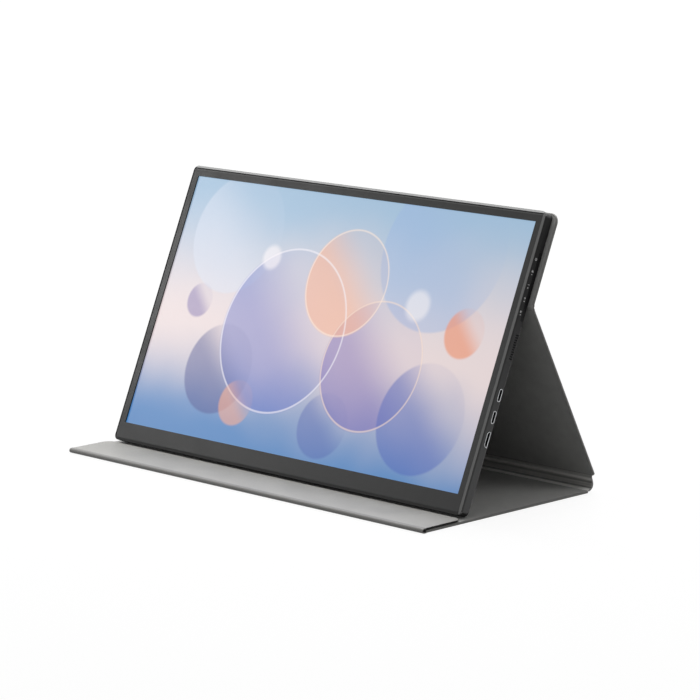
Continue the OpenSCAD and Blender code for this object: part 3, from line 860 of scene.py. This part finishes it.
    def build_heel(self, outer: Material, inner: Material) -> None:
        """Builds the spine's lower and upper half, each with its fold, pinched beside the panels.

        Args:
            outer: The outer side.
            inner: The inner side.
        """
        lay = self.layout
        arc = self.heel_path()
        middle = len(arc) // 2
        low = lay.heel_low
        inside = lay.fold_gap + self.half_gap
        base_side = [
            Vector((self.strip, low.y - inside, low.z)), Vector((self.pinch, low.y - lay.fold_gap / 2, low.z)),
        ]
        leg_side = [
            lay.lower_back.at(self.strip, *self.leg_turn), lay.lower_back.at(self.strip, inside, self.leg_tuck),
        ]
        lower, upper = base_side + arc[: middle + 1], arc[middle:] + leg_side
        low_turn = (base_side[1], arc[self.heel_steps])
        high_turn = (arc[-self.heel_steps - 1], leg_side[0])
        for name, points, bodies, turn, nodes in (
            ("spine_leather_lower", lower, (Body.BASE, Body.SPINE), low_turn, ("spine_strip",)),
            ("spine_leather_upper", upper, (Body.SPINE, Body.LOWER_BACK), high_turn, ()),
        ):
            FoldStrip(
                name, [(p.y, p.z) for p in points], self.hinge_width / 2, [p.x for p in points], bodies,
                tuple((p.y, p.z) for p in turn), nodes, Slot.SPINE, wave=self.heel_wave,
            ).build(outer, inner)

    def build_crease(self, leather: Material, lining: Material) -> None:
        """Builds the crease between the two back panels.

        Args:
            leather: The outer side.
            lining: The inner side.
        """
        lay = self.layout
        gap, inside = lay.fold_gap, lay.fold_gap + self.crease_tuck
        below = [tuple(lay.lower_back.at(0, lay.leg_length - a, 0))[1:] for a in (inside, gap, self.half_gap)]
        above = [tuple(lay.upper_back.at(0, a - gap, 0))[1:] for a in (self.half_gap, gap, inside)]
        bend = lay.upper_back.at(0, self.crease_bend[0] - gap, self.crease_bend[1])
        path = below + [(bend.y, bend.z)] + above
        FoldStrip(
            "crease_leather", path, self.width / 2, [self.crease_strip] * len(path),
            (Body.LOWER_BACK, Body.UPPER_BACK), (below[1], above[1]), (), Slot.SPINE,
        ).build(leather, lining)


# ---------- monitor ----------


def box(left: float, low: float, right: float, high: float) -> list[Pair]:
    """Returns the corners of an upright rectangle."""
    return [(left, low), (right, low), (right, high), (left, high)]


@dataclass
class KeyMarks:
    """Pale marks beside the keys: power, menu, less, more and input, each but the first over a smaller one."""

    layout: Layout
    side: float = MONITOR_SIDE
    depth: float = 3.05 * MM
    highest: float = 182 * MM
    pitch: float = 9.55 * MM
    line: float = 0.3 * MM
    reach: float = 0.8 * MM
    second: float = 2.2 * MM
    lift: float = 0.9 * MM
    proud: float = 0.03 * MM
    ring_angles: range = range(125, 416, 15)
    count: int = 5

    def strokes(self, mark: int) -> list[list[Pair]]:
        """Draws a mark, with its parts as shares of its reach.

        Args:
            mark: 0 power, 1 menu, 2 less, 3 more, 4 input.

        Returns:
            Its strokes as closed shapes of depth and height, from its middle.
        """
        r, w, low = self.reach, self.line / 2, -self.second
        dot = box(-0.4 * r, low - 0.4 * r, 0.4 * r, low + 0.4 * r)
        if mark == 0:
            shapes = [box(-w, 0.1 * r, w, 1.15 * r)]
            angles = [math.radians(a) for a in self.ring_angles]
            for a, b in zip(angles, angles[1:]):
                corners = ((r - w, a), (r + w, a), (r + w, b), (r - w, b))
                shapes.append([(d * math.cos(t), d * math.sin(t)) for d, t in corners])
            return shapes
        if mark == 1:
            return [box(-r, u - w, r, u + w) for u in (-0.6 * r, 0.0, 0.6 * r)] + [dot]
        level = box(-r, -w, r, w)
        left = [(-0.6 * r, low), (0.5 * r, low - 0.7 * r), (0.5 * r, low + 0.7 * r)]
        right = [(-back, up) for back, up in left][::-1]
        if mark == 2:
            return [level, left]
        if mark == 3:
            return [level, box(-w, w, w, r), box(-w, -r, w, -w), right]
        return [
            dot,
            box(0.2 * r, -r, r, -r + 2 * w),
            box(0.2 * r, r - 2 * w, r, r),
            box(r - 2 * w, -r + 2 * w, r, r - 2 * w),
            box(-r, -w, 0.1 * r, w),
            [(0.0, -0.45 * r), (0.5 * r, 0.0), (0.0, 0.45 * r)],
        ]

    def build(self, material: Material) -> None:
        """Builds all marks as one piece on the side wall.

        Args:
            material: Their paint.
        """
        points: list[Vector] = []
        faces: list[list[int]] = []
        for mark in range(self.count):
            level = self.highest - mark * self.pitch + (self.lift if mark else 0.0)
            for shape in self.strokes(mark):
                first, count = len(points), len(shape)
                for x in (self.side, self.side + self.proud):
                    for back, up in shape:
                        points.append(self.layout.monitor.at(x, level + up, self.depth - back))
                faces.append([first + i for i in range(count)][::-1])
                faces.append([first + count + i for i in range(count)])
                for i in range(count):
                    j = (i + 1) % count
                    faces.append([first + i, first + j, first + count + j, first + count + i])
        made = make_object("key_marks", points, faces, [material], sharp=20.0)
        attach(made, Body.MONITOR.value)
        LOG.info("key_marks: %d faces", len(faces))


@dataclass
class SocketLip:
    """A rolled bright lip round a socket's mouth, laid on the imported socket's own end face."""

    socket: bpy.types.Object
    wall: float = 0.3 * MM
    radius: float = 0.27 * MM
    sunk: float = 0.05 * MM
    flatness: float = 0.01 * MM
    steps: int = 8

    def mouth(self) -> tuple[float, list[tuple[Vector, Vector]]]:
        """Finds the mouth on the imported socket.

        Returns:
            The end face's place on X, and the middle line of its wall as points with outward normals.
        """
        spots = [self.socket.matrix_world @ v.co for v in self.socket.data.vertices]
        end = max(p.x for p in spots)
        flat = [Vector((p.y, p.z)) for p in spots if p.x > end - self.flatness]
        rim = [flat[i] for i in convex_hull_2d(flat)]
        line = []
        for i, spot in enumerate(rim):
            run = (rim[(i + 1) % len(rim)] - rim[i - 1]).normalized()
            outward = Vector((run.y, -run.x))
            line.append((spot - outward * self.wall / 2, outward))
        return end, line

    def build(self, material: Material) -> None:
        """Builds the lip and lets it ride on the monitor.

        Args:
            material: Its metal.
        """
        end, line = self.mouth()
        points, faces = [], []
        for i, (spot, outward) in enumerate(line):
            for k in range(self.steps):
                turn = 2 * math.pi * k / self.steps
                place = spot + outward * self.radius * math.cos(turn)
                points.append(Vector((end - self.sunk + self.radius * math.sin(turn), place.x, place.y)))
                j, m = (i + 1) % len(line), (k + 1) % self.steps
                faces.append([i * self.steps + k, i * self.steps + m, j * self.steps + m, j * self.steps + k])
        made = make_object(self.socket.name + "_lip", points, faces, [material], sharp=60.0)
        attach(made, Body.MONITOR.value)
        LOG.info("%s: %d faces", made.name, len(faces))


@dataclass
class SpeakerGauze:
    """Woven gauze behind the speaker slots, with its wires laid out by Geometry Nodes."""

    layout: Layout
    middle_up: float = 120.2 * MM
    middle_back: float = 6.1 * MM
    inner_wall: float = 177.85 * MM
    length: float = 18.6 * MM
    width: float = 2.9 * MM
    pitch: float = 0.36 * MM
    wire: float = 0.07 * MM

    def tree(self, material: Material) -> bpy.types.NodeTree:
        """Builds the node tree: two crossing sets of wires.

        Args:
            material: Material of the wires.

        Returns:
            The tree, whose inputs are the length, width, pitch and wire size.
        """
        tree = bpy.data.node_groups.new("gauze", "GeometryNodeTree")
        face = tree.interface
        face.new_socket("Geometry", in_out="INPUT", socket_type="NodeSocketGeometry")
        for name in ("Length", "Width", "Pitch", "Wire"):
            face.new_socket(name, in_out="INPUT", socket_type="NodeSocketFloat")
        face.new_socket("Geometry", in_out="OUTPUT", socket_type="NodeSocketGeometry")
        graph = Graph(tree)
        source = graph.add("NodeGroupInput").outputs
        join = graph.add("GeometryNodeJoinGeometry")
        for span, other, axis, cross, lift in (
            ("Length", "Width", "Z", "Y", 0.5),
            ("Width", "Length", "Y", "Z", -0.5),
        ):
            first = graph.math("MULTIPLY", source[span], -0.5)
            depth = graph.math("MULTIPLY", source["Wire"], lift)
            start = graph.add("ShaderNodeCombineXYZ", {axis: first, "X": depth})
            step = graph.add("ShaderNodeCombineXYZ", {axis: source["Pitch"]})
            bar = {"X": source["Wire"], axis: source["Wire"], cross: source[other]}
            size = graph.add("ShaderNodeCombineXYZ", bar)
            row = {
                "Count": graph.math("DIVIDE", source[span], source["Pitch"]),
                "Start Location": start.outputs[0],
                "Offset": step.outputs[0],
            }
            line = graph.add("GeometryNodeMeshLine", row, mode="OFFSET")
            rod = graph.add("GeometryNodeMeshCube", {"Size": size.outputs[0]})
            wires = {"Points": line.outputs[0], "Instance": rod.outputs[0]}
            graph.wire(graph.add("GeometryNodeInstanceOnPoints", wires).outputs[0], join.inputs[0])
        real = graph.add("GeometryNodeRealizeInstances", {0: join.outputs[0]})
        dress = graph.add("GeometryNodeSetMaterial", {0: real.outputs[0], "Material": material})
        graph.add("NodeGroupOutput", {0: dress.outputs[0]})
        return tree

    def build(self, material: Material) -> None:
        """Builds the gauze behind the slots of both side walls.

        Args:
            material: Material of the wires.
        """
        tree = self.tree(material)
        sizes = {"Length": self.length, "Width": self.width, "Pitch": self.pitch, "Wire": self.wire}
        carrier = add_object("gauze_carrier", bpy.data.meshes.new("gauze_carrier"))
        modifier = carrier.modifiers.new("gauze", "NODES")
        modifier.node_group = tree
        for item in tree.interface.items_tree:
            if item.name in sizes and item.in_out == "INPUT":
                modifier[item.identifier] = sizes[item.name]
        graph = bpy.context.evaluated_depsgraph_get()
        mesh = bpy.data.meshes.new_from_object(carrier.evaluated_get(graph))
        bpy.data.objects.remove(carrier)
        for name, side in (("speaker_gauze_right", 1.0), ("speaker_gauze_left", -1.0)):
            copy = mesh.copy()
            centre = self.layout.monitor.at(side * self.inner_wall, self.middle_up, self.middle_back)
            copy.transform(Matrix.Translation(centre) @ Matrix.Rotation(-TILT, 4, "X"))
            made = add_object(name, copy)
            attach(made, Body.MONITOR.value)
            LOG.info("%s: %d faces", name, len(copy.polygons))


# ---------- finishes ----------


PICTURE_DISCS = (
    Disc(-112, 58, 46, srgb(214, 222, 238), 0.5, fade=0.6),
    Disc(96, 66, 58, srgb(148, 180, 224), 0.5, fade=0.4),
    Disc(-38, -8, 62, srgb(58, 88, 190), 0.6, fade=0.5),
    Disc(58, -22, 48, srgb(104, 78, 176), 0.6, fade=0.5),
    Disc(12, 34, 40, srgb(246, 176, 134), 0.66, fade=0.5),
    Disc(-92, -44, 34, srgb(36, 54, 140), 0.66, fade=0.4),
    Disc(118, -52, 40, srgb(44, 86, 182), 0.6, fade=0.3),
    Disc(28, -70, 24, srgb(38, 74, 170), 0.5, fade=0.4),
    Disc(-38, -8, 62, srgb(250, 246, 252), 0.55, 0.5, 1.4),
    Disc(58, -22, 48, srgb(252, 226, 206), 0.55, 0.5, 1.2),
    Disc(12, 34, 40, srgb(255, 236, 220), 0.55, 0.5, 1.2),
    Disc(136, 12, 18, srgb(238, 138, 82), 0.7, fade=0.4),
    Disc(-132, 4, 13, srgb(92, 64, 160), 0.6, fade=0.4),
    Disc(-64, -66, 17, srgb(240, 164, 116), 0.55, fade=0.5),
    Disc(86, 26, 11, srgb(255, 250, 250), 0.5, 3.0),
    Disc(-70, 44, 9, srgb(255, 248, 250), 0.55, 2.5),
)


# Painted shade: near-black matt ends of the flap, standing in for the shadow in the gap between flap and base.
FLAP_END_PAINTED_SHADE = (
    PaintedLightBand(RIGHT, 182.45 * MM, PAST_EDGE, srgb(36, 36, 36), True),
    PaintedLightBand(LEFT, 182.45 * MM, PAST_EDGE, srgb(36, 36, 36), True),
)
MARK_PAINT = Surface("mark_paint_finish", srgb(255, 255, 255), srgb(246, 246, 246), gloss=(0.3, 0.4))
# Painted shade: a dark copy of sheet steel for the sockets' insides, standing in for the shadow inside their mouths.
SOCKET_INSIDE_PAINTED_SHADE = Surface(
    "socket_inside_painted_shade_finish", srgb(46, 46, 48), srgb(30, 30, 32), (60, 900, 60), (0.6, 0.75),
    metallic=0.5, specular=0.2,
)
# Painted light on the spine's inner side: a lighter copy of the lining, standing in for light that barely reaches
# inside the fold, with soft stripes and bands by height: painted highlights low and high, painted shade between.
SPINE_INSIDE_PAINTED_LIGHT = Surface(
    "spine_inside_painted_light_finish", srgb(196, 195, 192), srgb(150, 149, 147), (8, 520, 520), (0.7, 0.8), (2600, 2600, 2600),
    0.00003, sheen=0.15, specular=0.3,
    bands=(
        PaintedLightBand(HIGH, 0.9 * MM, 2.1 * MM, srgb(240, 239, 236), soft=0.0002),
        PaintedLightBand(HIGH, 2.3 * MM, 3.0 * MM, srgb(130, 129, 127), soft=0.0002),
        PaintedLightBand(HIGH, 5.6 * MM, 7.0 * MM, srgb(140, 139, 137), soft=0.0003),
        PaintedLightBand(HIGH, 7.9 * MM, 9.5 * MM, srgb(222, 221, 218), soft=0.0003),
    ),
)


def bezel_painted_light(foot: Pair, height: float = 215.4 * MM) -> tuple[PaintedLightBand, ...]:
    """Lays out painted light on the bezel's chamfers: painted highlights on the right and the top, painted shade on
    the left.

    Args:
        foot: Depth and height of the monitor's lower front edge.
        height: Height of the monitor.

    Returns:
        The bands.
    """
    top = foot[0] * UP[1] + foot[1] * UP[2] + height
    side = MONITOR_SIDE
    # In order: a grey band and a dark seam line just below the top chamfer, a painted highlight on the top chamfer,
    # a painted highlight on the right chamfer, painted shade on the left chamfer.
    return (
        PaintedLightBand(UP, top - 3.2 * MM, top - 2.3 * MM, srgb(66, 66, 66)),
        PaintedLightBand(UP, top - 2.3 * MM, top - 1.5 * MM, srgb(5, 5, 5), True),
        PaintedLightBand(UP, top - 1.5 * MM, top - 0.12 * MM, srgb(172, 172, 172)),
        PaintedLightBand(RIGHT, side - 2.1 * MM, side - 0.2 * MM, srgb(112, 112, 112), soft=0.0001),
        PaintedLightBand(LEFT, side - 1.7 * MM, side - 0.12 * MM, srgb(5, 5, 5), True),
    )


def surfaces(foot: Pair) -> dict[Slot, Surface]:
    """Lists the finish of each slot but the screen's.

    Args:
        foot: Depth and height of the monitor's lower front edge.

    Returns:
        The finishes.
    """
    return {
        Slot.LEATHER: Surface(
            "cover_leather_finish", srgb(124, 123, 121), srgb(116, 115, 113), (35, 60, 60), (0.5, 0.6),
            (1700, 1700, 1700), 0.000012, True, specular=0.3, streaks=0.1,
        ),
        Slot.SPINE: Surface(
            "spine_leather_finish", srgb(128, 127, 125), srgb(112, 111, 109), (80, 80, 80), (0.5, 0.6),
            (1900, 1900, 1900), 0.000014, True,
        ),
        Slot.LINING: Surface(
            "cover_lining_finish", srgb(157, 157, 155), srgb(149, 149, 147), (120, 120, 120), (0.85, 0.95),
            (5200, 5200, 5200), 0.00006, sheen=0.25, specular=0.2,
        ),
        Slot.CARD: Surface(
            "stiff_board_finish", srgb(160, 152, 138), srgb(132, 124, 112), gloss=(0.85, 0.95)
        ),
        Slot.MAGNET: Surface(
            "magnet_finish", srgb(196, 198, 202), srgb(168, 170, 174), metallic=1.0, gloss=(0.2, 0.32)
        ),
        # The bezel's finish carries the painted highlights and shade of its chamfers.
        Slot.BEZEL: Surface(
            "bezel_finish", srgb(39, 39, 39), srgb(34, 34, 34), (50, 50, 50), (0.34, 0.42), (5200, 5200, 5200),
            0.000012, specular=0.25, bands=bezel_painted_light(foot),
        ),
        Slot.HOUSING: Surface(
            "housing_finish", srgb(26, 26, 27), srgb(20, 20, 21), (50, 50, 50), (0.28, 0.34), (6400, 6400, 6400),
            0.000008,
        ),
        Slot.BLACK: Surface(
            "black_plastic_finish", srgb(13, 13, 14), srgb(9, 9, 10), gloss=(0.4, 0.5), grain=(5000,) * 3,
            specular=0.2,
        ),
        Slot.FILM: Surface("white_film_finish", srgb(236, 236, 232), srgb(222, 222, 218), gloss=(0.4, 0.5)),
        Slot.CLEAR: Surface(
            "clear_plastic_finish", srgb(226, 238, 234), srgb(214, 228, 224), gloss=(0.05, 0.12), transmission=0.6
        ),
        Slot.LED: Surface("led_finish", srgb(246, 238, 190), srgb(224, 214, 160), gloss=(0.3, 0.4)),
        Slot.SHEET: Surface(
            "sheet_steel_finish", srgb(214, 215, 217), srgb(186, 188, 191), (60, 900, 60), (0.3, 0.42),
            (3000, 300, 3000), 0.000004, metallic=1.0,
        ),
        Slot.CIRCUIT: Surface(
            "circuit_finish", srgb(32, 108, 74), srgb(18, 78, 52), (300, 300, 300), (0.25, 0.4)
        ),
        Slot.CABLE: Surface(
            "flat_cable_finish", srgb(206, 160, 84), srgb(176, 130, 60), (900, 40, 40), (0.3, 0.45)
        ),
        Slot.SCREW: Surface(
            "screw_finish", srgb(64, 64, 66), srgb(40, 40, 42), metallic=0.9, gloss=(0.3, 0.42)
        ),
        Slot.SPEAKER: Surface(
            "speaker_finish", srgb(14, 14, 15), srgb(9, 9, 10), gloss=(0.6, 0.75), specular=0.2
        ),
    }


# ---------- studio ----------


@dataclass
class Studio:
    """White floor and world, lights and camera."""

    front: float
    place: Triple = (1.712765, -1.558769, 0.534506)
    azimuth: float = math.radians(45.699)
    elevation: float = math.radians(10.624)
    roll: float = math.radians(-0.4625)
    lens: float = 173.726
    fill: float = 0.28
    floor_share: float = 0.2
    dim_from: float = 0.35
    dim_to: float = 1.0
    dim_level: float = 0.12
    white_from: float = 0.6
    white_to: float = 3.0
    near_level: float = 1.15
    white_level: float = 1.32
    floor_size: float = 30.0
    floor_height: float = -0.0001
    floor_colour: Colour = (0.25, 0.25, 0.25)
    lamp_target: Triple = (0.0, -0.05, 0.1)
    sensor: float = 36.0
    clip_end: float = 100.0

    def build(self) -> None:
        """Builds everything round the object."""
        self.world()
        self.floor()
        self.lights()
        self.camera()
        bpy.context.scene.view_settings.view_transform = "Standard"

    def world(self) -> None:
        """Makes a white world that is dimmer for diffuse light than for what is seen and mirrored."""
        world = bpy.data.worlds.new("world")
        bpy.context.scene.world = world
        world.use_nodes = True
        graph = Graph(world.node_tree)
        seen = graph.seen(graph.add("ShaderNodeLightPath").outputs)
        level = graph.add("ShaderNodeMapRange", {"To Min": self.fill, "To Max": 1.0, "Value": seen})
        sky = graph.add("ShaderNodeBackground", {"Color": (1.0, 1.0, 1.0, 1.0), "Strength": level.outputs[0]})
        graph.add("ShaderNodeOutputWorld", {0: sky.outputs[0]})

    def floor(self) -> None:
        """Makes a white floor that keeps a faint shadow."""
        tree = Tree("floor_white")
        rays = tree.add("ShaderNodeLightPath").outputs
        matt = tree.add("ShaderNodeBsdfDiffuse", {"Color": (*self.floor_colour, 1.0)})
        place = tree.add("ShaderNodeSeparateXYZ", {0: tree.point}).outputs
        away = tree.distance(place["X"], place["Y"])
        far = tree.remap(away, self.dim_from, self.dim_to, self.near_level, self.dim_level)
        white = tree.remap(away, self.white_from, self.white_to, self.near_level, self.white_level)
        bright = tree.math("MAXIMUM", tree.math("MULTIPLY", rays["Is Camera Ray"], white), far)
        glow = tree.add("ShaderNodeEmission", {"Strength": bright})
        share = tree.math("MULTIPLY", tree.seen(rays), 1.0 - self.floor_share)
        both = tree.add("ShaderNodeMixShader", {0: share, 1: matt.outputs[0], 2: glow.outputs[0]})
        size = self.floor_size
        corners = [Vector((x, y, self.floor_height)) for x, y in box(-size, -size, size, size)]
        make_object("floor", corners, [[0, 1, 2, 3]], [tree.finish(both.outputs[0])])

    def lights(self) -> None:
        """Places soft lights."""
        for name, place, size, power in (
            ("overhead", (-0.35, -0.3, 1.6), (1.2, 1.2), 9.0),
            ("rear_strip", (-0.35, 0.72, 1.5), (1.2, 0.28), 41.0),
            ("left", (-0.78, -0.46, 0.42), (0.26, 0.26), 1.5),
            ("right_high", (0.8, 0.1, 1.2), (0.5, 0.5), 2.8),
        ):
            data = bpy.data.lights.new(name, "AREA")
            data.shape = "RECTANGLE"
            data.size, data.size_y = size
            data.energy = power
            lamp = add_object(name, data)
            aim = Vector(self.lamp_target) - Vector(place)
            lamp.matrix_world = Matrix.Translation(place) @ aim.to_track_quat("-Z", "Y").to_matrix().to_4x4()

    def camera(self) -> None:
        """Places the camera."""
        data = bpy.data.cameras.new("camera")
        data.lens = self.lens
        data.sensor_width = self.sensor
        data.clip_end = self.clip_end
        camera = add_object("camera", data)
        turn = (
            Matrix.Rotation(self.azimuth, 4, "Z")
            @ Matrix.Rotation(math.pi / 2 - self.elevation, 4, "X")
            @ Matrix.Rotation(self.roll, 4, "Z")
        )
        place = Vector(self.place) + Vector((0.0, self.front, 0.0))
        camera.matrix_world = Matrix.Translation(place) @ turn
        bpy.context.scene.camera = camera


def dress_nodes(frame: dict, materials: dict[Slot, Material]) -> None:
    """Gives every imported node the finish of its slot.

    Args:
        materials: The material of each slot.
    """
    for part in frame["record"]["subparts"]:
        node = frame["nodes"][part["node"]]
        node.data.materials.clear()
        node.data.materials.append(materials[Slot(part["material_slot"])])
    LOG.info("packed nodes dressed: %d", len(frame["nodes"]))


def main() -> None:
    """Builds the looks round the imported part."""
    logging.basicConfig(level=logging.INFO, format="%(name)s: %(message)s")
    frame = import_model()
    layout = Layout(frame["joints"])
    finishes = surfaces(layout.monitor.origin)
    materials = {slot: surface.build() for slot, surface in finishes.items()}
    picture = LitPicture("picture_finish", foot=layout.monitor.origin, discs=PICTURE_DISCS)
    materials[Slot.SCREEN] = picture.build()
    dress_nodes(frame, materials)
    # Painted light: the flap gets a lighter copy of the cover leather, standing in for the light on its top face,
    # and painted shade on its ends.
    painted = replace(
        finishes[Slot.LEATHER], name="flap_leather_lit_copy_finish", light=srgb(149, 148, 145), dark=srgb(139, 138, 135),
        bands=FLAP_END_PAINTED_SHADE,
    )
    Cover(layout).build(
        materials[Slot.LEATHER], painted.build(), materials[Slot.SPINE], SPINE_INSIDE_PAINTED_LIGHT.build(), materials[Slot.LINING]
    )
    # The sockets' insides get painted shade; their lips keep the bright sheet steel.
    socket_inside = SOCKET_INSIDE_PAINTED_SHADE.build()
    for name in ("usb_c_socket_upper", "usb_c_socket_lower", "hdmi_socket"):
        socket = frame["nodes"][name]
        socket.data.materials[0] = socket_inside
        SocketLip(socket).build(materials[Slot.SHEET])
    KeyMarks(layout).build(MARK_PAINT.build())
    SpeakerGauze(layout).build(materials[Slot.SPEAKER])
    Studio(layout.fold_y).build()
    bpy.context.view_layer.update()


if __name__ == "__main__":
    main()
